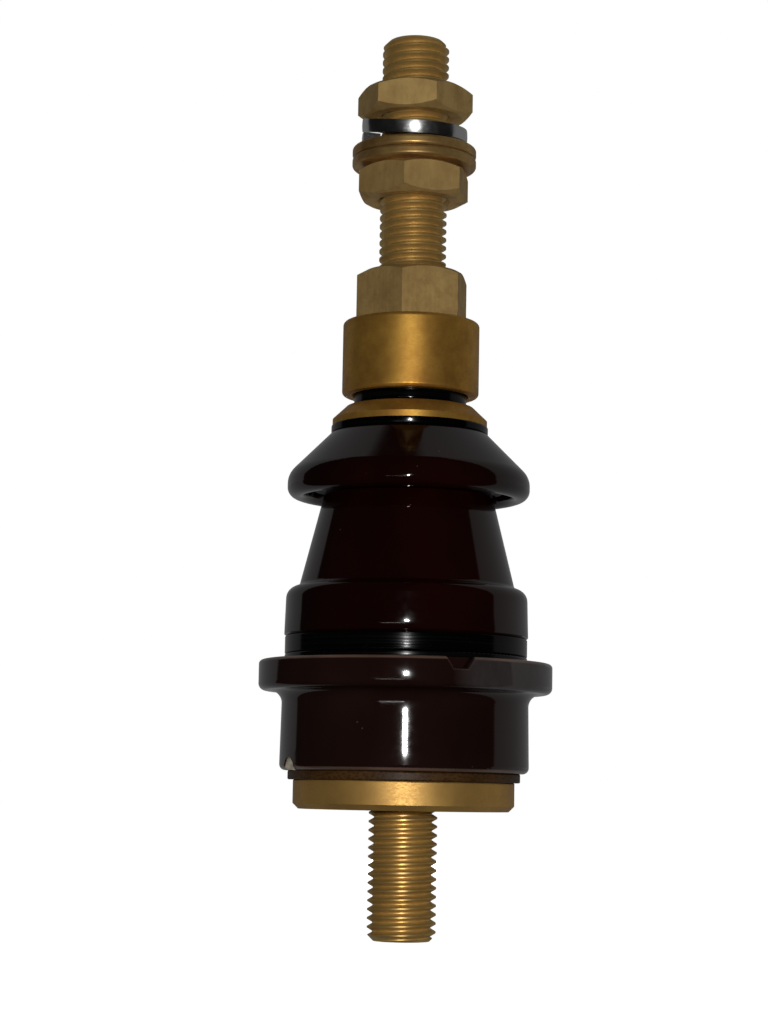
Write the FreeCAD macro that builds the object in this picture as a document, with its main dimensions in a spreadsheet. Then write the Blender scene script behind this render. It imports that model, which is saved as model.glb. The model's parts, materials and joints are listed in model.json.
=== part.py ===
import FreeCAD, Part
import math
import os
import re

import Sketcher

# Two-part porcelain transformer bushing on an M20 brass stud.
# The frame's origin is on the stud's axis, in the plane where the tank cover is clamped:
# the lower gasket's top face. +Z points to the air-side terminal. Lengths are millimetres.
# Azimuths are degrees about the axis, counted from the front (-Y) towards +X.

Vector = FreeCAD.Vector
Rotation = FreeCAD.Rotation
Placement = FreeCAD.Placement
UP = Vector(0, 0, 1)

doc = FreeCAD.newDocument("transformer_bushing")
sheet = doc.addObject("Spreadsheet::Sheet", "Sizes")

SIZES = {
    "stud": {
        "stud_radius": 9.92,
        "stud_reach_down": 81.6,
        "stud_reach_up": 183.6,
        "stud_tip_bevel": 1.8,
        "thread_pitch": 2.5,
        "thread_root_radius": 8.4,
        "thread_root_land": 0.28,
        "thread_flank_angle": 30,
        "thread_cutter_margin": 0.6,
        "thread_start": -85.2,
        "lower_thread_length": 45,
        "upper_thread_start": 84.8,
        "upper_thread_length": 102.5,
    },
    "clamp stack below the tank cover": {
        "disc_height": 8.3,
        "disc_radius": 32,
        "disc_bevel": 1.6,
        "bottom_gasket_height": 2.6,
        "bottom_gasket_radius": 33.6,
        "bottom_gasket_bore": 25,
        "insulator_bore": 11.5,
        "lower_body_height": 31.7,
        "lower_body_radius": 36.1,
        "lower_body_top_radius": 35.7,
        "lower_body_rounding": 1.8,
        "lower_cavity_radius": 24,
        "lower_cavity_height": 16,
        "lower_cavity_rounding": 3,
        "flange_radius": 42.6,
        "flange_height": 8.8,
        "flange_lower_rounding": 2,
        "flange_upper_rounding": 1.2,
        "flange_root_rounding": 3.6,
        "spigot_radius": 22,
        "spigot_height": 22,
        "spigot_rounding": 1.5,
        "lower_gasket_height": 1.8,
        "cover_gasket_radius": 35.2,
        "cover_gasket_bore": 23.4,
    },
    "notches and locating pin": {
        "flange_notch_azimuth": 20.5,
        "flange_notch_width": 8.8,
        "flange_notch_floor_width": 4.4,
        "flange_notch_depth": 3.5,
        "flange_notch_inner": 37.2,
        "rim_notch_azimuth": -66,
        "rim_notch_radius": 3.8,
        "rim_notch_inner": 22,
        "notch_outer": 46,
        "pin_radius": 2.5,
        "pin_passage_gap": 0.1,
        "pin_offset": 29,
        "pin_depth": 5,
        "pin_reach": 4.8,
        "pin_bevel": 0.4,
    },
    "clamp stack above the tank cover": {
        "upper_gasket_height": 5.2,
        "upper_body_height": 59.8,
        "base_ring_radius": 35.45,
        "base_ring_top_radius": 35.05,
        "base_ring_height": 14.6,
        "base_ring_rounding": 3.6,
        "base_ring_bevel": 0.6,
        "neck_radius": 31.4,
        "neck_top_radius": 23.7,
        "neck_root_rounding": 1.2,
        "neck_top_level": 45.4,
        "shed_radius": 35.45,
        "shed_lip_level": 40.6,
        "shed_lip_rounding": 3,
        "shed_lip_inner_radius": 30.4,
        "shed_lip_inner_rounding": 1.9,
        "shed_groove_radius": 29.6,
        "shed_under_rounding": 2,
        "shed_shoulder_level": 47.25,
        "shed_shoulder_rounding": 6,
        "crown_radius": 22.9,
        "crown_rounding": 0.8,
        "socket_radius": 23,
        "socket_depth": 18,
        "upper_cavity_radius": 15,
        "upper_cavity_level": 49,
        "top_gasket_height": 2.3,
        "top_gasket_radius": 23,
        "top_gasket_bore": 13,
        "pressure_disc_height": 5.6,
        "pressure_disc_radius": 22.7,
        "pressure_disc_band": 1.8,
        "pressure_disc_top_radius": 18.7,
        "gasket_rounding": 0.4,
        "stud_clearance": 0.35,
    },
    "stud seal and cap nut": {
        "seal_radius": 16.5,
        "seal_height": 8,
        "seal_rounding": 1,
        "seal_bore_gap": 0.08,
        "gland_washer_height": 2,
        "gland_washer_radius": 16.8,
        "cap_gap": 3.5,
        "cap_recess_radius": 17.1,
        "cap_recess_depth": 6.7,
        "cap_collar_radius": 20.1,
        "cap_collar_height": 21.8,
        "cap_collar_rounding": 1.1,
        "cap_hex_height": 15,
        "cap_hex_azimuth": -10.2,
    },
    "terminal nuts and washers": {
        "hex_across_flats": 30,
        "hex_face_radius": 14.2,
        "nut_bore": 10.02,
        "nut_countersink": 0.9,
        "lower_nut_level": 134.9,
        "lower_nut_height": 9.9,
        "lower_nut_azimuth": -10.2,
        "upper_nut_level": 160.1,
        "upper_nut_height": 8.9,
        "upper_nut_azimuth": 20.4,
        "washer_radius": 18.4,
        "washer_bore": 10.5,
        "washer_height": 3,
        "washer_rounding": 0.9,
        "washer_gap": 0.1,
        "spring_inner_radius": 10.5,
        "spring_radius": 15.6,
        "spring_height": 3.8,
        "spring_crown": 0.12,
    },
}

# The spring washer's coil at its free height: how far the bar's underside stands above the flat
# washer at each azimuth, from the raised end at the left, past the front, to the low end.
SPRING_RISES = {-92: 5.05, -64: 3.45, -42: 2.1, 0: 0.9, 45: 1.05, 90: 1.8, 180: 2.3, 245: 0.9, 285: 0.1}
SPRING_STEPS = 40

sheet_row = 1
for group, sizes in SIZES.items():
    sheet.set(f"A{sheet_row}", group)
    sheet_row += 1
    for word, size in sizes.items():
        sheet.set(f"A{sheet_row}", word)
        sheet.set(f"B{sheet_row}", str(size))
        sheet.setAlias(f"B{sheet_row}", word)
        sheet_row += 1
doc.recompute()
ALIASES = {word: f"Sizes.{word}" for sizes in SIZES.values() for word in sizes}


def value(expression):
    """The number that an expression of the sheet's cells gives now."""
    found = sheet.evalExpression(expression)
    return float(getattr(found, "Value", found))


def cell(words):
    """An expression in which each alias is written with the sheet's name."""
    return re.sub(r"\b[a-z]\w*", lambda word: ALIASES.get(word.group(), word.group()), words)


def origin_feature(body, role):
    return next(item for item in body.Origin.OriginFeatures if item.Role == role)


def new_body(label, level="0", azimuth="0"):
    """A body of its own, placed at a level on the axis and turned by an azimuth."""
    body = doc.addObject("PartDesign::Body", label)
    body.Label = label
    body.Placement = Placement(Vector(0, 0, value(cell(level))), Rotation(UP, value(cell(azimuth))))
    body.setExpression("Placement.Base.z", cell(level))
    return body


def new_sketch(body, name, role, level="0", azimuth="0"):
    """A sketch on one of the body's origin planes, lifted and turned within that plane."""
    sketch = body.newObject("Sketcher::SketchObject", name)
    sketch.AttachmentSupport = (origin_feature(body, role), [""])
    sketch.MapMode = "FlatFace"
    turn = Rotation(UP, value(cell(azimuth)))
    sketch.AttachmentOffset = Placement(Vector(0, 0, value(cell(level))), turn)
    return sketch


def draw_outline(sketch, corners):
    """A closed outline whose every corner is held by two expressions."""
    places = [(value(cell(across)), value(cell(up))) for across, up in corners]
    for start, end in zip(places, places[1:] + places[:1]):
        sketch.addGeometry(Part.LineSegment(Vector(*start, 0), Vector(*end, 0)), False)
    count = len(corners)
    for index, (across, up) in enumerate(corners):
        following = (index + 1) % count
        sketch.addConstraint(Sketcher.Constraint("Coincident", index, 2, following, 1))
        for kind, words, axis in (("DistanceX", across, -2), ("DistanceY", up, -1)):
            size = value(cell(words))
            if size == 0:
                sketch.addConstraint(Sketcher.Constraint("PointOnObject", index, 1, axis))
                continue
            number = sketch.addConstraint(Sketcher.Constraint(kind, -1, 1, index, 1, size))
            sketch.setExpression(f"Constraints[{number}]", cell(words))
    return sketch


def draw_circle(sketch, up, radius):
    """A circle on the sketch's upright axis, its height and radius held by expressions."""
    level = value(cell(up))
    sketch.addGeometry(Part.Circle(Vector(0, level, 0), UP, value(cell(radius))), False)
    sketch.addConstraint(Sketcher.Constraint("PointOnObject", 0, 3, -2))
    if level == 0:
        sketch.addConstraint(Sketcher.Constraint("PointOnObject", 0, 3, -1))
    else:
        place = sketch.addConstraint(Sketcher.Constraint("DistanceY", -1, 1, 0, 3, level))
        sketch.setExpression(f"Constraints[{place}]", cell(up))
    size = sketch.addConstraint(Sketcher.Constraint("Radius", 0, value(cell(radius))))
    sketch.setExpression(f"Constraints[{size}]", cell(radius))
    return sketch


def checked(feature, sign):
    """Recomputes and confirms that the feature adds (+1) or removes (-1) material."""
    base = feature.BaseFeature
    before = base.Shape.Volume if base else 0.0
    doc.recompute()
    change = feature.Shape.Volume - before
    if change * sign <= 1e-6:
        raise RuntimeError(f"{feature.Name} changed the volume by {change:.4f}")
    return feature


def turn_outline(body, name, corners, kind="Revolution"):
    """Turns an outline of (radius, height) corners about the body's axis."""
    sketch = draw_outline(new_sketch(body, f"{name}_outline", "XZ_Plane"), corners)
    feature = body.newObject(f"PartDesign::{kind}", name)
    feature.Profile = sketch
    feature.ReferenceAxis = (origin_feature(body, "Z_Axis"), [""])
    feature.Angle = 360
    sketch.Visibility = False
    return checked(feature, 1 if kind == "Revolution" else -1)


def round_edges(body, name, base, rims, radius):
    """Fillets the round edges at the given (radius, height) places of a turned shape."""
    names = []
    for across, up in rims:
        reach = value(cell(across))
        level = value(cell(up))
        for number, edge in enumerate(base.Shape.Edges, 1):
            curve = edge.Curve
            if not isinstance(curve, Part.Circle) or abs(curve.Radius - reach) > 0.01:
                continue
            if abs(curve.Center.z - level) < 0.01 and math.hypot(curve.Center.x, curve.Center.y) < 0.01:
                names.append(f"Edge{number}")
    if len(names) < len(rims):
        raise RuntimeError(f"{name}: found {len(names)} of {len(rims)} edges")
    feature = body.newObject("PartDesign::Fillet", name)
    feature.Base = (base, names)
    feature.Radius = value(cell(radius))
    feature.setExpression("Radius", cell(radius))
    doc.recompute()
    return feature


def ring(label, level, inner, outer, height, rounding=None):
    """A flat ring with its outer edges rounded."""
    body = new_body(label, level)
    turned = turn_outline(
        body, f"{label}_ring", [(inner, "0"), (outer, "0"), (outer, height), (inner, height)]
    )
    if rounding:
        round_edges(body, f"{label}_edges", turned, [(outer, "0"), (outer, height)], rounding)
    return body


def cut_thread(body, name, start, length):
    """Cuts one right-hand helical V groove of the stud's thread, upwards from a start level."""
    rise = "tan(thread_flank_angle * 1deg)"
    crest = "stud_radius + thread_cutter_margin"
    root = f"{start} + thread_root_land / 2"
    half = f"({crest} - thread_root_radius) * {rise}"
    groove = draw_outline(
        new_sketch(body, f"{name}_section", "XZ_Plane"),
        [
            ("thread_root_radius", f"{start} - thread_root_land / 2"),
            (crest, f"{start} - thread_root_land / 2 - {half}"),
            (crest, f"{root} + {half}"),
            ("thread_root_radius", root),
        ],
    )
    helix = body.newObject("PartDesign::SubtractiveHelix", name)
    helix.Profile = groove
    helix.ReferenceAxis = (origin_feature(body, "Z_Axis"), [""])
    helix.Mode = "pitch-height-angle"
    helix.setExpression("Pitch", cell("thread_pitch"))
    helix.setExpression("Height", cell(length))
    helix.Pitch = value(cell("thread_pitch"))
    helix.Height = value(cell(length))
    groove.Visibility = False
    return checked(helix, -1)


def hexagon_corners(flats):
    """The six corners of a hexagon of a width across flats, the first at the front."""
    half = f"{flats} / sqrt(3)"
    angles = [60 * step - 90 for step in range(6)]
    return [(f"{half} * cos({angle}deg)", f"{half} * sin({angle}deg)") for angle in angles]


def pad_hexagon(body, name, level, height):
    sketch = new_sketch(body, f"{name}_outline", "XY_Plane", level)
    draw_outline(sketch, hexagon_corners("hex_across_flats"))
    sketch.setExpression("AttachmentOffset.Base.z", cell(level))
    pad = body.newObject("PartDesign::Pad", name)
    pad.Profile = sketch
    pad.Length = value(cell(height))
    pad.setExpression("Length", cell(height))
    sketch.Visibility = False
    return checked(pad, 1)


def bevel_hexagon(body, name, face, inward):
    """Turns the 30 degree bevel off a hexagon's corners at one face; inward is +1 or -1 along Z."""
    corner = "hex_across_flats / sqrt(3) + 1"
    drop = f"({corner} - hex_face_radius) * tan(30deg)"
    inner = f"{face} + {drop}" if inward > 0 else f"{face} - {drop}"
    corners = [("hex_face_radius", face), (corner, face), (corner, inner)]
    return turn_outline(body, name, corners, "Groove")


def countersunk_bore(body, name, low, high):
    """A nut's bore at the thread's major diameter, countersunk at both faces."""
    wide = "nut_bore + nut_countersink"
    corners = [
        ("0", low),
        (wide, low),
        ("nut_bore", f"{low} + nut_countersink"),
        ("nut_bore", f"{high} - nut_countersink"),
        (wide, high),
        ("0", high),
    ]
    return turn_outline(body, name, corners, "Groove")


def radial_sketch(body, name, inner, level, azimuth):
    """A sketch on the upright plane that faces outwards at an azimuth, at a radius and level."""
    sketch = new_sketch(body, name, "XZ_Plane")
    turn = math.radians(value(cell(azimuth)))
    reach = value(cell(inner))
    base = Vector(reach * math.sin(turn), value(cell(level)), reach * math.cos(turn))
    sketch.AttachmentOffset = Placement(base, Rotation(Vector(0, 1, 0), math.degrees(turn)))
    return sketch


def cut_outwards(body, name, sketch, inner):
    """Cuts a sketch outwards through a rim, from its own radius to past the rim."""
    pocket = body.newObject("PartDesign::Pocket", name)
    pocket.Profile = sketch
    length = f"notch_outer - {inner}"
    pocket.Length = value(cell(length))
    pocket.setExpression("Length", cell(length))
    pocket.Reversed = True
    sketch.Visibility = False
    return checked(pocket, -1)


# Levels of the stack's faces, as expressions of the sheet.
LOWER_INSULATOR_BASE = "0 - lower_gasket_height - lower_body_height"
BOTTOM_GASKET_BASE = f"{LOWER_INSULATOR_BASE} - bottom_gasket_height"
DISC_BASE = f"{BOTTOM_GASKET_BASE} - disc_height"
TOP_GASKET_BASE = "upper_gasket_height + upper_body_height"
PRESSURE_DISC_BASE = f"{TOP_GASKET_BASE} + top_gasket_height"
SEAL_BASE = f"{PRESSURE_DISC_BASE} + pressure_disc_height"
GLAND_WASHER_BASE = f"{SEAL_BASE} + seal_height"
CAP_NUT_BASE = f"{SEAL_BASE} + cap_gap"
LOWER_WASHER_BASE = "lower_nut_level + lower_nut_height + washer_gap"
UPPER_WASHER_BASE = f"{LOWER_WASHER_BASE} + washer_height + washer_gap"
SPRING_WASHER_BASE = f"{UPPER_WASHER_BASE} + washer_height + washer_gap"


def make_stud():
    """The current-carrying stud: bevelled ends, a thread at each end and a plain shank between."""
    body = new_body("stud")
    low = "0 - stud_reach_down"
    neck = "stud_radius - stud_tip_bevel"
    turn_outline(
        body,
        "stud_bar",
        [
            ("0", low),
            (neck, low),
            ("stud_radius", f"{low} + stud_tip_bevel"),
            ("stud_radius", "stud_reach_up - stud_tip_bevel"),
            (neck, "stud_reach_up"),
            ("0", "stud_reach_up"),
        ],
    )
    cut_thread(body, "oil_side_thread", "thread_start", "lower_thread_length")
    cut_thread(body, "air_side_thread", "upper_thread_start", "upper_thread_length")
    return body


def make_support_disc():
    """The brazed-on disc that carries the lower insulator, with the locating pin's blind hole."""
    body = new_body("support_disc", DISC_BASE)
    turned = turn_outline(
        body,
        "disc_blank",
        [
            ("stud_radius", "0"),
            ("disc_radius - disc_bevel", "0"),
            ("disc_radius", "disc_bevel"),
            ("disc_radius", "disc_height"),
            ("stud_radius", "disc_height"),
        ],
    )
    round_edges(body, "disc_top_edge", turned, [("disc_radius", "disc_height")], "gasket_rounding")
    drill_for_pin(body, "pin_hole", "disc_height", "pin_depth", "pin_radius")
    return body


def drill_for_pin(body, name, level, depth, radius):
    """A round hole for the locating pin, drilled down from a level."""
    sketch = new_sketch(body, f"{name}_circle", "XY_Plane", level, "rim_notch_azimuth")
    sketch.setExpression("AttachmentOffset.Base.z", cell(level))
    draw_circle(sketch, "0 - pin_offset", radius)
    pocket = body.newObject("PartDesign::Pocket", name)
    pocket.Profile = sketch
    pocket.Length = value(cell(depth))
    pocket.setExpression("Length", cell(depth))
    sketch.Visibility = False
    return checked(pocket, -1)


def make_locating_pin():
    """The pin that stands in the lower insulator's rim notch, so the stud can't turn."""
    body = new_body("locating_pin", f"{BOTTOM_GASKET_BASE} - pin_depth")
    azimuth = math.radians(value(cell("rim_notch_azimuth")) - 90)
    offset = value(cell("pin_offset"))
    body.Placement.Base = Vector(
        offset * math.cos(azimuth), offset * math.sin(azimuth), body.Placement.Base.z
    )
    length = "pin_depth + pin_reach"
    turn_outline(
        body,
        "pin_shape",
        [
            ("0", "0"),
            ("pin_radius", "0"),
            ("pin_radius", f"{length} - pin_bevel"),
            ("pin_radius - pin_bevel", length),
            ("0", length),
        ],
    )
    return body


def make_bottom_gasket():
    body = ring(
        "bottom_gasket",
        BOTTOM_GASKET_BASE,
        "bottom_gasket_bore",
        "bottom_gasket_radius",
        "bottom_gasket_height",
        "gasket_rounding",
    )
    passage = "pin_radius + pin_passage_gap"
    drill_for_pin(body, "pin_passage", "bottom_gasket_height", "bottom_gasket_height", passage)
    return body


def make_lower_insulator():
    """The oil-side porcelain: a hollow drum, a flange under the cover and a spigot through it."""
    body = new_body("lower_insulator", LOWER_INSULATOR_BASE)
    top = "lower_body_height"
    under = "lower_body_height - flange_height"
    spigot_top = "lower_body_height + spigot_height"
    turned = turn_outline(
        body,
        "lower_porcelain",
        [
            ("lower_cavity_radius", "0"),
            ("lower_body_radius", "0"),
            ("lower_body_top_radius", under),
            ("flange_radius", under),
            ("flange_radius", top),
            ("spigot_radius", top),
            ("spigot_radius", spigot_top),
            ("insulator_bore", spigot_top),
            ("insulator_bore", "lower_cavity_height"),
            ("lower_cavity_radius", "lower_cavity_height"),
        ],
    )
    steps = [
        ("foot_edge", [("lower_body_radius", "0")], "lower_body_rounding"),
        ("flange_root", [("lower_body_top_radius", under)], "flange_root_rounding"),
        ("flange_lower_edge", [("flange_radius", under)], "flange_lower_rounding"),
        ("flange_upper_edge", [("flange_radius", top)], "flange_upper_rounding"),
        ("spigot_edge", [("spigot_radius", spigot_top)], "spigot_rounding"),
        ("cavity_roof", [("lower_cavity_radius", "lower_cavity_height")], "lower_cavity_rounding"),
    ]
    for name, rims, radius in steps:
        turned = round_edges(body, name, turned, rims, radius)
    slot = radial_sketch(body, "flange_notch_outline", "flange_notch_inner", top, "flange_notch_azimuth")
    half = "flange_notch_width / 2"
    floor = "flange_notch_floor_width / 2"
    depth = "0 - flange_notch_depth"
    draw_outline(slot, [(f"0 - {floor}", depth), (floor, depth), (half, "0"), (f"0 - {half}", "0")])
    cut_outwards(body, "flange_notch", slot, "flange_notch_inner")
    arch = radial_sketch(body, "rim_notch_outline", "rim_notch_inner", "0", "rim_notch_azimuth")
    draw_circle(arch, "0", "rim_notch_radius")
    cut_outwards(body, "rim_notch", arch, "rim_notch_inner")
    return body


def make_upper_insulator():
    """The air-side porcelain: base ring, tapered neck and one rain shed, bored for the stud."""
    body = new_body("upper_insulator", "upper_gasket_height")
    top = "upper_body_height"
    ring_top = "base_ring_height"
    turned = turn_outline(
        body,
        "upper_porcelain",
        [
            ("socket_radius", "0"),
            ("base_ring_radius - base_ring_bevel", "0"),
            ("base_ring_radius", "base_ring_bevel"),
            ("base_ring_top_radius", ring_top),
            ("neck_radius", ring_top),
            ("neck_top_radius", "neck_top_level"),
            ("shed_groove_radius", "neck_top_level"),
            ("shed_lip_inner_radius", "shed_lip_level"),
            ("shed_radius", "shed_lip_level"),
            ("shed_radius", "shed_shoulder_level"),
            ("crown_radius", top),
            ("insulator_bore", top),
            ("insulator_bore", "upper_cavity_level"),
            ("upper_cavity_radius", "upper_cavity_level"),
            ("upper_cavity_radius", "socket_depth"),
            ("socket_radius", "socket_depth"),
        ],
    )
    groove_rims = [("neck_top_radius", "neck_top_level"), ("shed_groove_radius", "neck_top_level")]
    steps = [
        ("ring_edge", [("base_ring_top_radius", ring_top)], "base_ring_rounding"),
        ("neck_root", [("neck_radius", ring_top)], "neck_root_rounding"),
        ("shed_groove_root", groove_rims, "shed_under_rounding"),
        ("shed_lip_outer", [("shed_radius", "shed_lip_level")], "shed_lip_rounding"),
        ("shed_lip_inner", [("shed_lip_inner_radius", "shed_lip_level")], "shed_lip_inner_rounding"),
        ("shed_shoulder", [("shed_radius", "shed_shoulder_level")], "shed_shoulder_rounding"),
        ("crown_edge", [("crown_radius", top)], "crown_rounding"),
    ]
    for name, rims, radius in steps:
        turned = round_edges(body, name, turned, rims, radius)
    return body


def make_pressure_disc():
    """The loose brass disc that spreads the cap nut's load over the top gasket."""
    body = new_body("pressure_disc", PRESSURE_DISC_BASE)
    turn_outline(
        body,
        "pressure_disc_shape",
        [
            ("stud_radius + stud_clearance", "0"),
            ("pressure_disc_radius", "0"),
            ("pressure_disc_radius", "pressure_disc_band"),
            ("pressure_disc_top_radius", "pressure_disc_height"),
            ("stud_radius + stud_clearance", "pressure_disc_height"),
        ],
    )
    return body


def make_cap_nut():
    """The cap nut: a round collar hollowed for the stud seal, with a spanner hexagon on top."""
    body = new_body("cap_nut", CAP_NUT_BASE, "cap_hex_azimuth")
    collar_top = "cap_collar_height"
    top = "cap_collar_height + cap_hex_height"
    collar = turn_outline(
        body,
        "collar",
        [("0", "0"), ("cap_collar_radius", "0"), ("cap_collar_radius", collar_top), ("0", collar_top)],
    )
    rims = [("cap_collar_radius", "0"), ("cap_collar_radius", collar_top)]
    round_edges(body, "collar_edges", collar, rims, "cap_collar_rounding")
    pad_hexagon(body, "cap_hexagon", collar_top, "cap_hex_height")
    bevel_hexagon(body, "cap_hexagon_bevel", top, -1)
    turn_outline(
        body,
        "seal_recess",
        [
            ("0", "0"),
            ("cap_recess_radius", "0"),
            ("cap_recess_radius", "cap_recess_depth"),
            ("0", "cap_recess_depth"),
        ],
        "Groove",
    )
    countersunk_bore(body, "cap_bore", "cap_recess_depth", top)
    return body


def make_hex_nut(label, level, height, azimuth):
    """A hexagon nut with its corners bevelled at both faces."""
    body = new_body(label, level, azimuth)
    pad_hexagon(body, f"{label}_blank", "0", height)
    bevel_hexagon(body, f"{label}_lower_bevel", "0", 1)
    bevel_hexagon(body, f"{label}_upper_bevel", height, -1)
    countersunk_bore(body, f"{label}_bore", "0", height)
    return body


def make_spring_washer():
    """A single-coil spring washer: a square bar swept round almost one turn, rising to one end."""
    inner = value("spring_inner_radius")
    outer = value("spring_radius")
    height = value("spring_height")
    base = value(cell(SPRING_WASHER_BASE))
    middle = (inner + outer) / 2

    def place(azimuth, radius, level):
        turn = math.radians(azimuth)
        return Vector(radius * math.sin(turn), -radius * math.cos(turn), base + level)

    profile = Part.BSplineCurve()
    profile.interpolate([Vector(azimuth, rise, 0) for azimuth, rise in SPRING_RISES.items()])
    path = Part.BSplineCurve()
    path.interpolate([place(step.x, middle, step.y) for step in profile.discretize(SPRING_STEPS)])
    start, rise = next(iter(SPRING_RISES.items()))
    corners = [
        place(start, inner, rise),
        place(start, outer, rise),
        place(start, outer, rise + height),
        place(start, inner, rise + height),
    ]
    crown = place(start, outer + value("spring_crown"), rise + height / 2)
    sides = [
        Part.LineSegment(corners[0], corners[1]),
        Part.Arc(corners[1], crown, corners[2]),
        Part.LineSegment(corners[2], corners[3]),
        Part.LineSegment(corners[3], corners[0]),
    ]
    sweep = Part.BRepOffsetAPI.MakePipeShell(Part.Wire(path.toShape()))
    sweep.setBiNormalMode(UP)
    sweep.add(Part.Wire([side.toShape() for side in sides]))
    if not sweep.isReady():
        raise RuntimeError("the spring washer's sweep isn't ready")
    sweep.build()
    sweep.makeSolid()
    washer = doc.addObject("Part::Feature", "spring_washer")
    washer.Label = "spring_washer"
    washer.Shape = sweep.shape()
    return washer


def cover_gasket(label, level, height):
    return ring(label, level, "cover_gasket_bore", "cover_gasket_radius", height, "gasket_rounding")


def flat_washer(label, level):
    return ring(label, level, "washer_bore", "washer_radius", "washer_height", "washer_rounding")


SEAL_BORE = "stud_radius + seal_bore_gap"
STUD_HOLE = "stud_radius + stud_clearance"

pieces = [
    make_stud(),
    make_support_disc(),
    make_locating_pin(),
    make_bottom_gasket(),
    make_lower_insulator(),
    cover_gasket("lower_cover_gasket", "0 - lower_gasket_height", "lower_gasket_height"),
    cover_gasket("upper_cover_gasket", "0", "upper_gasket_height"),
    make_upper_insulator(),
    ring(
        "top_gasket",
        TOP_GASKET_BASE,
        "top_gasket_bore",
        "top_gasket_radius",
        "top_gasket_height",
        "gasket_rounding",
    ),
    make_pressure_disc(),
    ring("stud_seal", SEAL_BASE, SEAL_BORE, "seal_radius", "seal_height", "seal_rounding"),
    ring("gland_washer", GLAND_WASHER_BASE, STUD_HOLE, "gland_washer_radius", "gland_washer_height"),
    make_cap_nut(),
    make_hex_nut("lower_terminal_nut", "lower_nut_level", "lower_nut_height", "lower_nut_azimuth"),
    flat_washer("lower_flat_washer", LOWER_WASHER_BASE),
    flat_washer("upper_flat_washer", UPPER_WASHER_BASE),
    make_spring_washer(),
    make_hex_nut("upper_terminal_nut", "upper_nut_level", "upper_nut_height", "upper_nut_azimuth"),
]

doc.recompute()
for item in doc.Objects:
    if "Invalid" in item.State or "Error" in item.State:
        raise RuntimeError(f"{item.Label} failed: {item.State}")
for piece in pieces:
    if piece.Shape.isNull() or not piece.Shape.isValid() or len(piece.Shape.Solids) != 1:
        raise RuntimeError(f"{piece.Label} isn't one valid solid")

os.makedirs("parts", exist_ok=True)
for piece in pieces:
    piece.Shape.exportStep(os.path.join("parts", f"{piece.Label}.step"))
    box = piece.Shape.optimalBoundingBox()
    print(f"{piece.Label:20s} {piece.Shape.Volume:10.1f} mm3  z {box.ZMin:8.2f} to {box.ZMax:8.2f}")
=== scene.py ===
import json
import math

import bpy
from mathutils import Matrix, Vector


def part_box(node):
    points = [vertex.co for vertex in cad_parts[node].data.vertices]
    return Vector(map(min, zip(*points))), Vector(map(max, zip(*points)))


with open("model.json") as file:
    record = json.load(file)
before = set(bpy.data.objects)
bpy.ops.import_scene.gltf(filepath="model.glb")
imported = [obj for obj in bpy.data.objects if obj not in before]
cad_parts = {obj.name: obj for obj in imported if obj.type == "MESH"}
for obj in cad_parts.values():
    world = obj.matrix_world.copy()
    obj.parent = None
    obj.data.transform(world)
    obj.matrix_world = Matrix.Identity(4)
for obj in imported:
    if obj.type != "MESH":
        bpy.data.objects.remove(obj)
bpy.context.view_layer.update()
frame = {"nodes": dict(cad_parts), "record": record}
scene = bpy.context.scene
nodes = frame["nodes"]

MM = 0.001

# ---------------------------------------------------------------- places, read from the frame

FLOOR_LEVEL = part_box("stud")[0].z
INSULATOR_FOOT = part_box("lower_insulator")[0].z
FLANGE_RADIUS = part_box("lower_insulator")[1].x
FLANGE_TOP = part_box("lower_cover_gasket")[0].z
DRUM_RADIUS = 36.1 * MM
RIM_NOTCH_AZIMUTH = math.radians(-66)
RIM_NOTCH_RADIUS = 3.8 * MM

# Edges drawn in a paler colour: radius, level and how far the paler colour reaches.
PALE_EDGES = [
    (FLANGE_RADIUS - 0.4 * MM, FLANGE_TOP - 0.4 * MM, 0.75 * MM),
    (DRUM_RADIUS - 0.55 * MM, INSULATOR_FOOT + 0.55 * MM, 0.7 * MM),
]

GREYISH_SIDE_AZIMUTH = math.radians(48)
FLANGE_NOTCH_AZIMUTH = math.radians(20.5)
FLANGE_NOTCH_DEPTH = 3.5 * MM
FLANGE_NOTCH_HALF_FLOOR = 2.2 * MM
FLANGE_NOTCH_SPREAD = 2.2 * MM
FLANGE_HEIGHT = 8.8 * MM
CAP_HEXAGON_HEIGHT = 14.95 * MM
CAP_COLLAR_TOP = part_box("cap_nut")[1].z - CAP_HEXAGON_HEIGHT

# Shading only: how far the walls' normals lean. Each band has its lower and upper level and the
# lean at each. The amounts are chosen for where the highlights fall, and the walls stay straight.
WALL_LEANS = [
    (7.9 * MM, 11.0 * MM, -0.073, 0.0),
    (5.2 * MM, 7.9 * MM, -0.32, -0.073),
    (-8.6 * MM, -3.0 * MM, -0.068, 0.077),
    (-16.8 * MM, -14.2 * MM, -0.026, -0.085),
    (-28.0 * MM, -16.8 * MM, -0.009, -0.026),
    (-31.7 * MM, -28.0 * MM, 0.04, -0.009),
]
# The spring washer's face and the top gasket's wall lean in the same way, in shading only.
SPRING_FACE_LEAN = -0.25
TOP_GASKET_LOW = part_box("top_gasket")[0].z
TOP_GASKET_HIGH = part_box("top_gasket")[1].z

# ---------------------------------------------------------------- node material helpers


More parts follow.
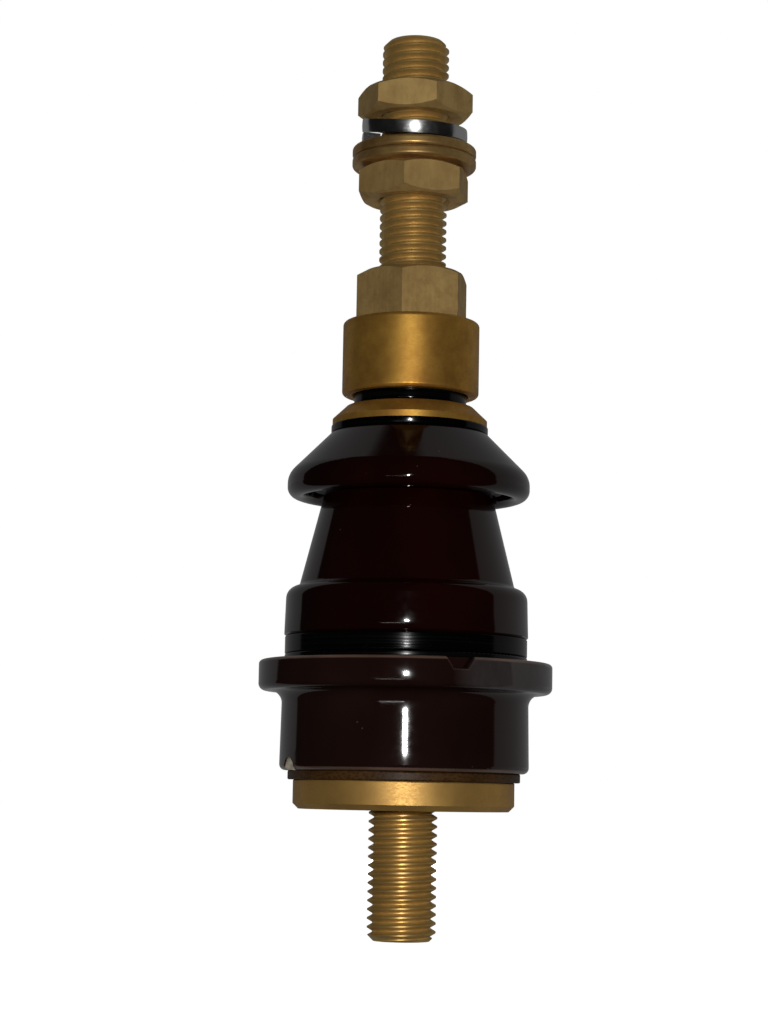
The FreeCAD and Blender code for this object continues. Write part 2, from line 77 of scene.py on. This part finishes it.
class Shader:
    """A Principled material whose nodes are added by short calls."""

    def __init__(self, name, metallic, roughness, gloss=0.5):
        self.material = bpy.data.materials.new(name)
        self.material.use_nodes = True
        self.tree = self.material.node_tree
        self.bsdf = self.tree.nodes["Principled BSDF"]
        self.bsdf.inputs["Metallic"].default_value = metallic
        self.bsdf.inputs["Roughness"].default_value = roughness
        self.bsdf.inputs["Specular IOR Level"].default_value = gloss
        self.position = self.add("ShaderNodeTexCoord").outputs["Object"]

    def add(self, kind, **settings):
        node = self.tree.nodes.new(kind)
        for key, setting in settings.items():
            setattr(node, key, setting)
        return node

    def join(self, source, target):
        self.tree.links.new(source, target)

    def feed(self, socket, source):
        """Links a source to a socket, or sets the socket if the source is a plain number or colour."""
        if isinstance(source, bpy.types.NodeSocket):
            self.join(source, socket)
        else:
            socket.default_value = source

    def scaled(self, x, y, z):
        """The position in the row frame, stretched along each axis."""
        node = self.add("ShaderNodeMapping")
        self.join(self.position, node.inputs["Vector"])
        node.inputs["Scale"].default_value = (x, y, z)
        return node.outputs["Vector"]

    def around(self, turns_scale, level_scale, radius_scale=0.0):
        """Coordinates that follow a turned surface: azimuth, level and radius."""
        split = self.split()
        angle = self.math("ARCTAN2", split.outputs["Y"], split.outputs["X"])
        radius = self.radius()
        join = self.add("ShaderNodeCombineXYZ")
        self.join(self.math("MULTIPLY", angle, turns_scale), join.inputs["X"])
        self.join(self.math("MULTIPLY", split.outputs["Z"], level_scale), join.inputs["Y"])
        self.join(self.math("MULTIPLY", radius, radius_scale), join.inputs["Z"])
        return join.outputs["Vector"]

    def split(self):
        node = self.add("ShaderNodeSeparateXYZ")
        self.join(self.position, node.inputs["Vector"])
        return node

    def level(self):
        return self.split().outputs["Z"]

    def length(self, first, second):
        """The length of a pair of components."""
        square = self.math("ADD", self.math("POWER", first, 2.0), self.math("POWER", second, 2.0))
        return self.math("SQRT", square, 0.0)

    def radius(self):
        """Distance from the stud's axis."""
        split = self.split()
        return self.length(split.outputs["X"], split.outputs["Y"])

    def math(self, operation, first, second):
        node = self.add("ShaderNodeMath", operation=operation)
        self.feed(node.inputs[0], first)
        self.feed(node.inputs[1], second)
        return node.outputs[0]

    def band(self, source, low, high):
        """1 between two values and 0 outside them."""
        above = self.math("GREATER_THAN", source, low)
        return self.math("MULTIPLY", above, self.math("LESS_THAN", source, high))

    def noise(self, vector, scale, detail=4.0, roughness=0.55):
        node = self.add("ShaderNodeTexNoise")
        self.join(vector, node.inputs["Vector"])
        node.inputs["Scale"].default_value = scale
        node.inputs["Detail"].default_value = detail
        node.inputs["Roughness"].default_value = roughness
        return node.outputs["Fac"]

    def spots(self, vector, scale, randomness=1.0):
        node = self.add("ShaderNodeTexVoronoi")
        self.join(vector, node.inputs["Vector"])
        node.inputs["Scale"].default_value = scale
        node.inputs["Randomness"].default_value = randomness
        return node.outputs["Distance"]

    def spread(self, source, low, high, to_low=0.0, to_high=1.0):
        node = self.add("ShaderNodeMapRange")
        self.join(source, node.inputs["Value"])
        for key, number in (("From Min", low), ("From Max", high), ("To Min", to_low), ("To Max", to_high)):
            node.inputs[key].default_value = number
        return node.outputs["Result"]

    def mix(self, factor, first, second):
        node = self.add("ShaderNodeMix", data_type="RGBA")
        self.feed(node.inputs["Factor"], factor)
        self.feed(node.inputs["A"], first)
        self.feed(node.inputs["B"], second)
        return node.outputs["Result"]

    def mix_value(self, factor, first, second):
        node = self.add("ShaderNodeMix", data_type="FLOAT")
        for socket, source in zip((node.inputs[0], node.inputs[2], node.inputs[3]), (factor, first, second)):
            self.feed(socket, source)
        return node.outputs[0]

    def bump(self, height, distance, strength=1.0, under=None):
        node = self.add("ShaderNodeBump")
        self.join(height, node.inputs["Height"])
        node.inputs["Distance"].default_value = distance
        node.inputs["Strength"].default_value = strength
        if under is not None:
            self.join(under, node.inputs["Normal"])
        return node.outputs["Normal"]

    def leaning(self, lean):
        """The surface's normal, leant up (+) or down (-)."""
        push = self.add("ShaderNodeCombineXYZ")
        self.feed(push.inputs["Z"], lean)
        total = self.add("ShaderNodeVectorMath", operation="ADD")
        self.join(self.add("ShaderNodeNewGeometry").outputs["Normal"], total.inputs[0])
        self.join(push.outputs["Vector"], total.inputs[1])
        unit = self.add("ShaderNodeVectorMath", operation="NORMALIZE")
        self.join(total.outputs["Vector"], unit.inputs[0])
        return unit.outputs["Vector"]

    def finish(self, colour=None, roughness=None, normal=None):
        if colour is not None:
            self.feed(self.bsdf.inputs["Base Color"], colour)
        if roughness is not None:
            self.feed(self.bsdf.inputs["Roughness"], roughness)
        if normal is not None:
            self.join(normal, self.bsdf.inputs["Normal"])
        return self.material


def rgb(red, green, blue):
    return (red, green, blue, 1.0)


# ---------------------------------------------------------------- materials

NUT_BRASS = rgb(0.68, 0.46, 0.17)
NUT_BRASS_DARK = rgb(0.43, 0.26, 0.095)
DISC_BRASS = rgb(0.80, 0.52, 0.19)


def satin_brass(name, base, dark, metallic, roughness):
    """Turned or punched brass with a dulled look: fine rings, a mottled bloom, browner patches."""
    shader = Shader(name, metallic, roughness, 0.1)
    rings = shader.noise(shader.around(0.6, 2600.0, 2600.0), 1.0, 3.0)
    mottle = shader.noise(shader.scaled(1.0, 1.0, 2.2), 900.0, 5.0, 0.65)
    tarnish = shader.noise(shader.scaled(1.0, 1.0, 1.0), 90.0, 5.0, 0.65)
    colour = shader.mix(shader.spread(tarnish, 0.38, 0.68), base, dark)
    colour = shader.mix(shader.spread(mottle, 0.4, 0.75, 0.0, 0.5), colour, dark)
    rough = shader.spread(mottle, 0.3, 0.75, roughness - 0.06, roughness + 0.08)
    if name == "turned_brass":
        colour, rough = turned_variants(shader, colour, rough, tarnish)
    normal = shader.bump(rings, 0.01 * MM, 0.5)
    normal = shader.bump(mottle, 0.02 * MM, 0.4, normal)
    return shader.finish(colour, rough, normal)


def turned_variants(shader, colour, rough, tarnish):
    """The cap nut's hexagon looks dull like the nuts, and the support disc is cleaner and paler."""
    bar = shader.math("GREATER_THAN", shader.level(), CAP_COLLAR_TOP)
    lines = shader.noise(shader.scaled(1.0, 1.0, 0.03), 1500.0, 3.0)
    blotches = shader.noise(shader.scaled(1.0, 1.0, 0.8), 420.0, 5.0, 0.7)
    dull = shader.mix(shader.spread(lines, 0.45, 0.75, 0.0, 0.35), NUT_BRASS, NUT_BRASS_DARK)
    dull = shader.mix(shader.spread(blotches, 0.45, 0.7, 0.0, 0.7), dull, NUT_BRASS_DARK)
    dull = shader.mix(shader.spread(tarnish, 0.4, 0.72, 0.0, 0.8), dull, NUT_BRASS_DARK)
    disc = shader.math("LESS_THAN", shader.level(), INSULATOR_FOOT)
    colour = shader.mix(bar, colour, dull)
    colour = shader.mix(shader.math("MULTIPLY", disc, 0.4), colour, DISC_BRASS)
    rough = shader.mix_value(bar, rough, 0.56)
    metal = shader.bsdf.inputs["Metallic"]
    shader.feed(metal, shader.mix_value(bar, metal.default_value, 0.48))
    rough = shader.math("ADD", shader.math("MULTIPLY", disc, 0.05), rough)
    return colour, rough


def drawn_brass(name, base, dark):
    """Drawn hexagon bar: faint lines along the bar, a dull skin, a few dark nicks."""
    shader = Shader(name, 0.5, 0.53, 0.1)
    lines = shader.noise(shader.scaled(1.0, 1.0, 0.03), 1500.0, 3.0)
    skin = shader.noise(shader.scaled(1.0, 1.0, 0.7), 500.0, 5.0, 0.65)
    stain = shader.noise(shader.scaled(1.0, 1.0, 0.6), 140.0, 4.0, 0.6)
    nicks = shader.noise(shader.scaled(1.0, 1.0, 0.22), 420.0, 2.0, 0.4)
    colour = shader.mix(shader.spread(stain, 0.4, 0.7, 0.0, 0.7), base, dark)
    colour = shader.mix(shader.spread(lines, 0.5, 0.75, 0.0, 0.2), colour, dark)
    colour = shader.mix(shader.spread(skin, 0.45, 0.7, 0.0, 0.5), colour, dark)
    colour = shader.mix(shader.spread(nicks, 0.74, 0.8, 0.0, 0.6), colour, rgb(0.12, 0.07, 0.03))
    rough = shader.spread(skin, 0.3, 0.7, 0.5, 0.62)
    normal = shader.bump(lines, 0.012 * MM, 0.5)
    normal = shader.bump(skin, 0.03 * MM, 0.4, normal)
    return shader.finish(colour, rough, normal)


def threaded_brass():
    """The stud's thread: golden-brown, painted paler towards the roots and darker towards the crests, a
    painted sheen on the flanks and painted shade on the crests.
    """
    shader = Shader("stud_brass", 0.6, 0.4, 0.1)
    radius = shader.radius()
    painted_crest_shade = shader.spread(radius, 8.4 * MM, 9.9 * MM)
    mottle = shader.noise(shader.scaled(1.0, 1.0, 1.0), 800.0, 4.0, 0.6)
    stain = shader.noise(shader.scaled(1.0, 1.0, 1.0), 130.0, 4.0, 0.6)
    # Painted light: paler at the roots and darker at the crests, standing in for the sheen on the flanks.
    colour = shader.mix(painted_crest_shade, rgb(0.82, 0.56, 0.19), rgb(0.62, 0.42, 0.14))
    colour = shader.mix(shader.spread(stain, 0.4, 0.7, 0.0, 0.4), colour, rgb(0.46, 0.29, 0.10))
    colour = shader.mix(shader.spread(mottle, 0.45, 0.75, 0.0, 0.35), colour, rgb(0.46, 0.29, 0.10))
    rough = shader.spread(mottle, 0.3, 0.7, 0.34, 0.46)
    normal = shader.bump(mottle, 0.015 * MM, 0.5)
    return shader.finish(colour, rough, normal)


def brown_glaze():
    """Dark brown porcelain glaze: glossy, paler on sharp edges, bare in the rim notch."""
    shader = Shader("brown_glaze", 0.0, 0.06, 0.52)
    flow = shader.noise(shader.scaled(1.0, 1.0, 0.6), 40.0, 3.0, 0.5)
    peel = shader.noise(shader.scaled(1.0, 1.0, 1.0), 420.0, 3.0, 0.5)
    specks = shader.spots(shader.scaled(1.0, 1.0, 1.0), 160.0)
    colour = shader.mix(shader.spread(flow, 0.3, 0.7), rgb(0.006, 0.0006, 0.0003), rgb(0.014, 0.0020, 0.0011))
    lower = shader.math("LESS_THAN", shader.level(), FLANGE_TOP + 0.5 * MM)
    browner = shader.mix(shader.spread(flow, 0.3, 0.7), rgb(0.013, 0.0045, 0.0032), rgb(0.022, 0.009, 0.007))
    colour = shader.mix(lower, colour, browner)
    colour = shader.mix(greyish_side(shader), colour, rgb(0.060, 0.050, 0.049))
    colour = shader.mix(shader.spread(specks, 0.05, 0.02), colour, rgb(0.10, 0.05, 0.04))
    paler_edge = shader.math("MULTIPLY", paler_edges(shader), shader.spread(flow, 0.25, 0.6, 0.3, 1.0))
    colour = shader.mix(paler_edge, colour, rgb(0.20, 0.12, 0.09))
    bare = bare_ceramic(shader)
    stain = shader.spread(peel, 0.35, 0.6)
    colour = shader.mix(bare, colour, shader.mix(stain, rgb(0.55, 0.49, 0.39), rgb(0.22, 0.17, 0.12)))
    rough = shader.mix_value(bare, shader.spread(peel, 0.3, 0.7, 0.05, 0.08), 0.7)
    normal = shader.leaning(wall_lean(shader))
    normal = shader.bump(flow, 0.012 * MM, 0.3, normal)
    normal = shader.bump(peel, 0.004 * MM, 0.5, normal)
    return shader.finish(colour, rough, normal)


def wall_lean(shader):
    """How far the glazed walls' normals lean at each level, from WALL_LEANS; 0 elsewhere."""
    level = shader.level()
    lean = 0.0
    for low, high, lean_low, lean_high in WALL_LEANS:
        inside = shader.band(level, low, high)
        part = shader.math("MULTIPLY", inside, shader.spread(level, low, high, lean_low, lean_high))
        lean = shader.math("ADD", part, lean)
    return lean


def paler_edges(shader):
    """1 at edges drawn paler: flange's upper edge, drum's foot; less at the notch."""
    level = shader.level()
    radius = shader.radius()
    mask = notch_outline(shader)
    for edge_radius, edge_level, reach in PALE_EDGES:
        across = shader.math("SUBTRACT", radius, edge_radius)
        up = shader.math("SUBTRACT", level, edge_level)
        near = shader.spread(shader.length(across, up), reach, 0.5 * reach)
        mask = shader.math("MAXIMUM", near, mask)
    return mask


def greyish_side(shader):
    """How grey the flange's rim is drawn on one side: an assumed greyish patch."""
    _, outwards = turned_to(shader, GREYISH_SIDE_AZIMUTH)
    reach = shader.spread(outwards, 0.86 * FLANGE_RADIUS, 0.93 * FLANGE_RADIUS)
    patches = shader.noise(shader.scaled(1.0, 1.0, 0.5), 130.0, 4.0, 0.6)
    band = shader.band(shader.level(), FLANGE_TOP - FLANGE_HEIGHT, FLANGE_TOP)
    # A greyish patch drawn into the colour on one side of the rim.
    dust = shader.math("MULTIPLY", reach, shader.spread(patches, 0.2, 0.6, 0.4, 1.0))
    return shader.math("MULTIPLY", band, dust)


def turned_to(shader, azimuth):
    """Position across and along the direction of an azimuth, counted from -Y towards +X."""
    split = shader.split()
    along_x = math.sin(azimuth)
    along_y = -math.cos(azimuth)
    sideways = shader.math("SUBTRACT", shader.math("MULTIPLY", split.outputs["X"], along_y),
                           shader.math("MULTIPLY", split.outputs["Y"], along_x))
    outwards = shader.math("ADD", shader.math("MULTIPLY", split.outputs["X"], along_x),
                           shader.math("MULTIPLY", split.outputs["Y"], along_y))
    return sideways, outwards


def notch_outline(shader):
    """Up to 0.3 on the flange's rim along the sloping sides and the floor of its notch."""
    sideways, outwards = turned_to(shader, FLANGE_NOTCH_AZIMUTH)
    above_floor = shader.math("SUBTRACT", shader.level(), FLANGE_TOP - FLANGE_NOTCH_DEPTH)
    slope = FLANGE_NOTCH_SPREAD / FLANGE_NOTCH_DEPTH
    half = shader.math("ADD", shader.math("MULTIPLY", above_floor, slope), FLANGE_NOTCH_HALF_FLOOR)
    beside = shader.math("SUBTRACT", shader.math("ABSOLUTE", sideways, 0.0), half)
    beside = shader.math("MULTIPLY", beside, 1.0 / math.hypot(1.0, slope))
    below = shader.math("MULTIPLY", above_floor, -1.0)
    outside = shader.math("MAXIMUM", beside, below)
    near = shader.spread(outside, 0.4 * MM, 0.1 * MM, 0.0, 0.3)
    rim = shader.math("GREATER_THAN", outwards, FLANGE_RADIUS - 1.4 * MM)
    return shader.math("MULTIPLY", near, rim)


def bare_ceramic(shader):
    """1 inside the arch of the rim notch, which is drawn without glaze."""
    sideways, outwards = turned_to(shader, RIM_NOTCH_AZIMUTH)
    up = shader.math("SUBTRACT", shader.level(), INSULATOR_FOOT)
    inside = shader.math("LESS_THAN", shader.length(sideways, up), RIM_NOTCH_RADIUS + 0.06 * MM)
    facing = shader.math("GREATER_THAN", outwards, 0.0)
    wall = shader.math("LESS_THAN", shader.radius(), DRUM_RADIUS - 0.5 * MM)
    return shader.math("MULTIPLY", shader.math("MULTIPLY", inside, facing), wall)


def black_rubber():
    """Moulded rubber: deep black with a soft sheen and fine mould rings."""
    shader = Shader("black_rubber", 0.0, 0.15, 0.19)
    rings = shader.noise(shader.around(0.5, 1500.0, 1500.0), 1.0, 3.0, 0.6)
    dust = shader.noise(shader.scaled(1.0, 1.0, 1.0), 700.0, 5.0, 0.7)
    worn = shader.spread(rings, 0.5, 0.75)
    colour = shader.mix(worn, rgb(0.0005, 0.0008, 0.0007), rgb(0.004, 0.005, 0.004))
    colour = shader.mix(shader.spread(dust, 0.62, 0.85), colour, rgb(0.014, 0.014, 0.013))
    rough = shader.spread(rings, 0.3, 0.7, 0.08, 0.16)
    level = shader.level()
    bulge = shader.spread(level, TOP_GASKET_LOW, TOP_GASKET_HIGH, -0.24, -0.03)
    bulge = shader.math("MULTIPLY", shader.band(level, TOP_GASKET_LOW, TOP_GASKET_HIGH), bulge)
    normal = shader.bump(rings, 0.02 * MM, 0.7, shader.leaning(bulge))
    return shader.finish(colour, rough, normal)


def brown_gasket():
    """Gasket sheet, taken as oily cork and rubber: dark brown, grainy, faintly shiny."""
    shader = Shader("brown_gasket", 0.0, 0.45, 0.15)
    grain = shader.spots(shader.scaled(1.0, 1.0, 1.6), 900.0)
    stain = shader.noise(shader.scaled(1.0, 1.0, 1.0), 150.0, 4.0, 0.6)
    colour = shader.mix(shader.spread(grain, 0.1, 0.6), rgb(0.040, 0.018, 0.006), rgb(0.090, 0.042, 0.012))
    colour = shader.mix(shader.spread(stain, 0.4, 0.7, 0.0, 0.6), colour, rgb(0.012, 0.006, 0.004))
    normal = shader.bump(grain, 0.04 * MM, 0.5)
    return shader.finish(colour, None, normal)


def bright_steel():
    """Bright plated spring steel with fine scratches along the coil."""
    shader = Shader("spring_steel", 1.0, 0.2)
    scratches = shader.noise(shader.around(2.0, 7000.0, 7000.0), 1.0, 2.0)
    cloud = shader.noise(shader.scaled(1.0, 1.0, 1.0), 260.0, 4.0, 0.6)
    colour = shader.mix(cloud, rgb(0.50, 0.51, 0.50), rgb(0.64, 0.65, 0.63))
    rough = shader.spread(cloud, 0.3, 0.7, 0.15, 0.26)
    normal = shader.bump(scratches, 0.006 * MM, 0.4, shader.leaning(SPRING_FACE_LEAN))
    return shader.finish(colour, rough, normal)


MATERIALS = {
    "stud_brass": threaded_brass(),
    "turned_brass": satin_brass("turned_brass", rgb(0.68, 0.375, 0.070), rgb(0.42, 0.20, 0.038), 0.66, 0.44),
    "nut_brass": drawn_brass("nut_brass", NUT_BRASS, NUT_BRASS_DARK),
    "washer_brass": satin_brass("washer_brass", rgb(0.62, 0.40, 0.145), rgb(0.34, 0.185, 0.06), 0.66, 0.4),
    "spring_steel": bright_steel(),
    "brown_glaze": brown_glaze(),
    "black_rubber": black_rubber(),
    "brown_gasket": brown_gasket(),
}

for part in frame["record"]["subparts"]:
    piece = nodes[part["node"]]
    piece.data.materials.clear()
    piece.data.materials.append(MATERIALS[part["material_slot"]])

# ---------------------------------------------------------------- floor, light and camera

CAMERA_DISTANCE = 0.698
CAMERA_SIDE = -0.0071
CAMERA_LEVEL = -0.0386
CAMERA_PITCH = math.radians(6.6)
CAMERA_ROLL = math.radians(1.05)
LENS_MM = 84.375
FLASH_PLACE = (-0.0025, -0.70, -0.0066)
STRIP_PLACE = (-0.15, -0.70, -0.075)
BACK_FILL_PLACE = (0.0, 0.80, 0.04)
WORLD_FRONT = 0.01
WORLD_BACK = 0.19
WORLD_LEAN = 0.1
WORLD_SIDE = 0.26
WORLD_EDGE_FROM = 0.245
WORLD_EDGE_TO = 0.285


def make_floor():
    mesh = bpy.data.meshes.new("floor")
    half = 4.0
    corners = [(-half, -half, 0), (half, -half, 0), (half, half, 0), (-half, half, 0)]
    mesh.from_pydata(corners, [], [(0, 1, 2, 3)])
    floor = bpy.data.objects.new("floor", mesh)
    floor.location.z = FLOOR_LEVEL
    scene.collection.objects.link(floor)
    shader = Shader("floor_white", 0.0, 0.9)
    shader.bsdf.inputs["Emission Color"].default_value = rgb(1.0, 1.0, 1.0)
    shader.bsdf.inputs["Emission Strength"].default_value = 0.95
    shader.finish(rgb(0.7, 0.7, 0.7))
    mesh.materials.append(shader.material)
    floor.visible_glossy = False
    floor.visible_diffuse = False


def make_area(name, location, target, width, height, power):
    data = bpy.data.lights.new(name, "AREA")
    data.shape = "RECTANGLE"
    data.size = width
    data.size_y = height
    data.energy = power
    light = bpy.data.objects.new(name, data)
    light.location = location
    light.rotation_euler = (Vector(target) - Vector(location)).to_track_quat("-Z", "Y").to_euler()
    light.visible_camera = False
    scene.collection.objects.link(light)
    return light


def make_world():
    """White for the camera; what lights the object is an assumed grey behind and dark in front."""
    world = bpy.data.worlds.new("studio")
    scene.world = world
    world.use_nodes = True
    tree = world.node_tree
    background = tree.nodes["Background"]
    place = tree.nodes.new("ShaderNodeTexCoord")
    split = tree.nodes.new("ShaderNodeSeparateXYZ")
    tree.links.new(place.outputs["Generated"], split.inputs["Vector"])
    steep = tree.nodes.new("ShaderNodeMath")
    steep.operation = "MULTIPLY_ADD"
    tree.links.new(split.outputs["Z"], steep.inputs[0])
    steep.inputs[1].default_value = WORLD_LEAN
    tree.links.new(split.outputs["Y"], steep.inputs[2])
    sideways = tree.nodes.new("ShaderNodeMath")
    sideways.operation = "MULTIPLY_ADD"
    tree.links.new(split.outputs["X"], sideways.inputs[0])
    sideways.inputs[1].default_value = WORLD_SIDE
    tree.links.new(steep.outputs["Value"], sideways.inputs[2])
    edge = tree.nodes.new("ShaderNodeMapRange")
    tree.links.new(sideways.outputs["Value"], edge.inputs["Value"])
    limits = (("From Min", WORLD_EDGE_FROM), ("From Max", WORLD_EDGE_TO),
              ("To Min", WORLD_FRONT), ("To Max", WORLD_BACK))
    for key, number in limits:
        edge.inputs[key].default_value = number
    rays = tree.nodes.new("ShaderNodeLightPath")
    seen = tree.nodes.new("ShaderNodeMix")
    seen.data_type = "FLOAT"
    tree.links.new(rays.outputs["Is Camera Ray"], seen.inputs["Factor"])
    tree.links.new(edge.outputs["Result"], seen.inputs["A"])
    seen.inputs["B"].default_value = 1.0
    tree.links.new(seen.outputs["Result"], background.inputs["Strength"])
    background.inputs["Color"].default_value = rgb(1.0, 1.0, 1.0)


def make_camera():
    data = bpy.data.cameras.new("camera")
    data.sensor_width = 36.0
    data.lens = LENS_MM
    data.clip_start = 0.01
    camera = bpy.data.objects.new("camera", data)
    place = Matrix.Translation((CAMERA_SIDE, -CAMERA_DISTANCE, CAMERA_LEVEL))
    tilt = Matrix.Rotation(math.pi / 2 + CAMERA_PITCH, 4, "X")
    camera.matrix_world = place @ tilt @ Matrix.Rotation(CAMERA_ROLL, 4, "Z")
    scene.collection.objects.link(camera)
    scene.camera = camera


make_floor()
make_world()
make_area("low_strip", STRIP_PLACE, (0, 0, 0), 0.28, 0.004, 0.04)
make_area("flash", FLASH_PLACE, (0, 0, 0.03), 0.028, 0.018, 2.2)
back_fill = make_area("back_fill", BACK_FILL_PLACE, (0, 0, 0.03), 0.3, 0.3, 3.0)
back_fill.visible_glossy = False
make_camera()

scene.view_settings.view_transform = "Standard"
scene.view_settings.look = "None"
scene.view_settings.exposure = 0.0
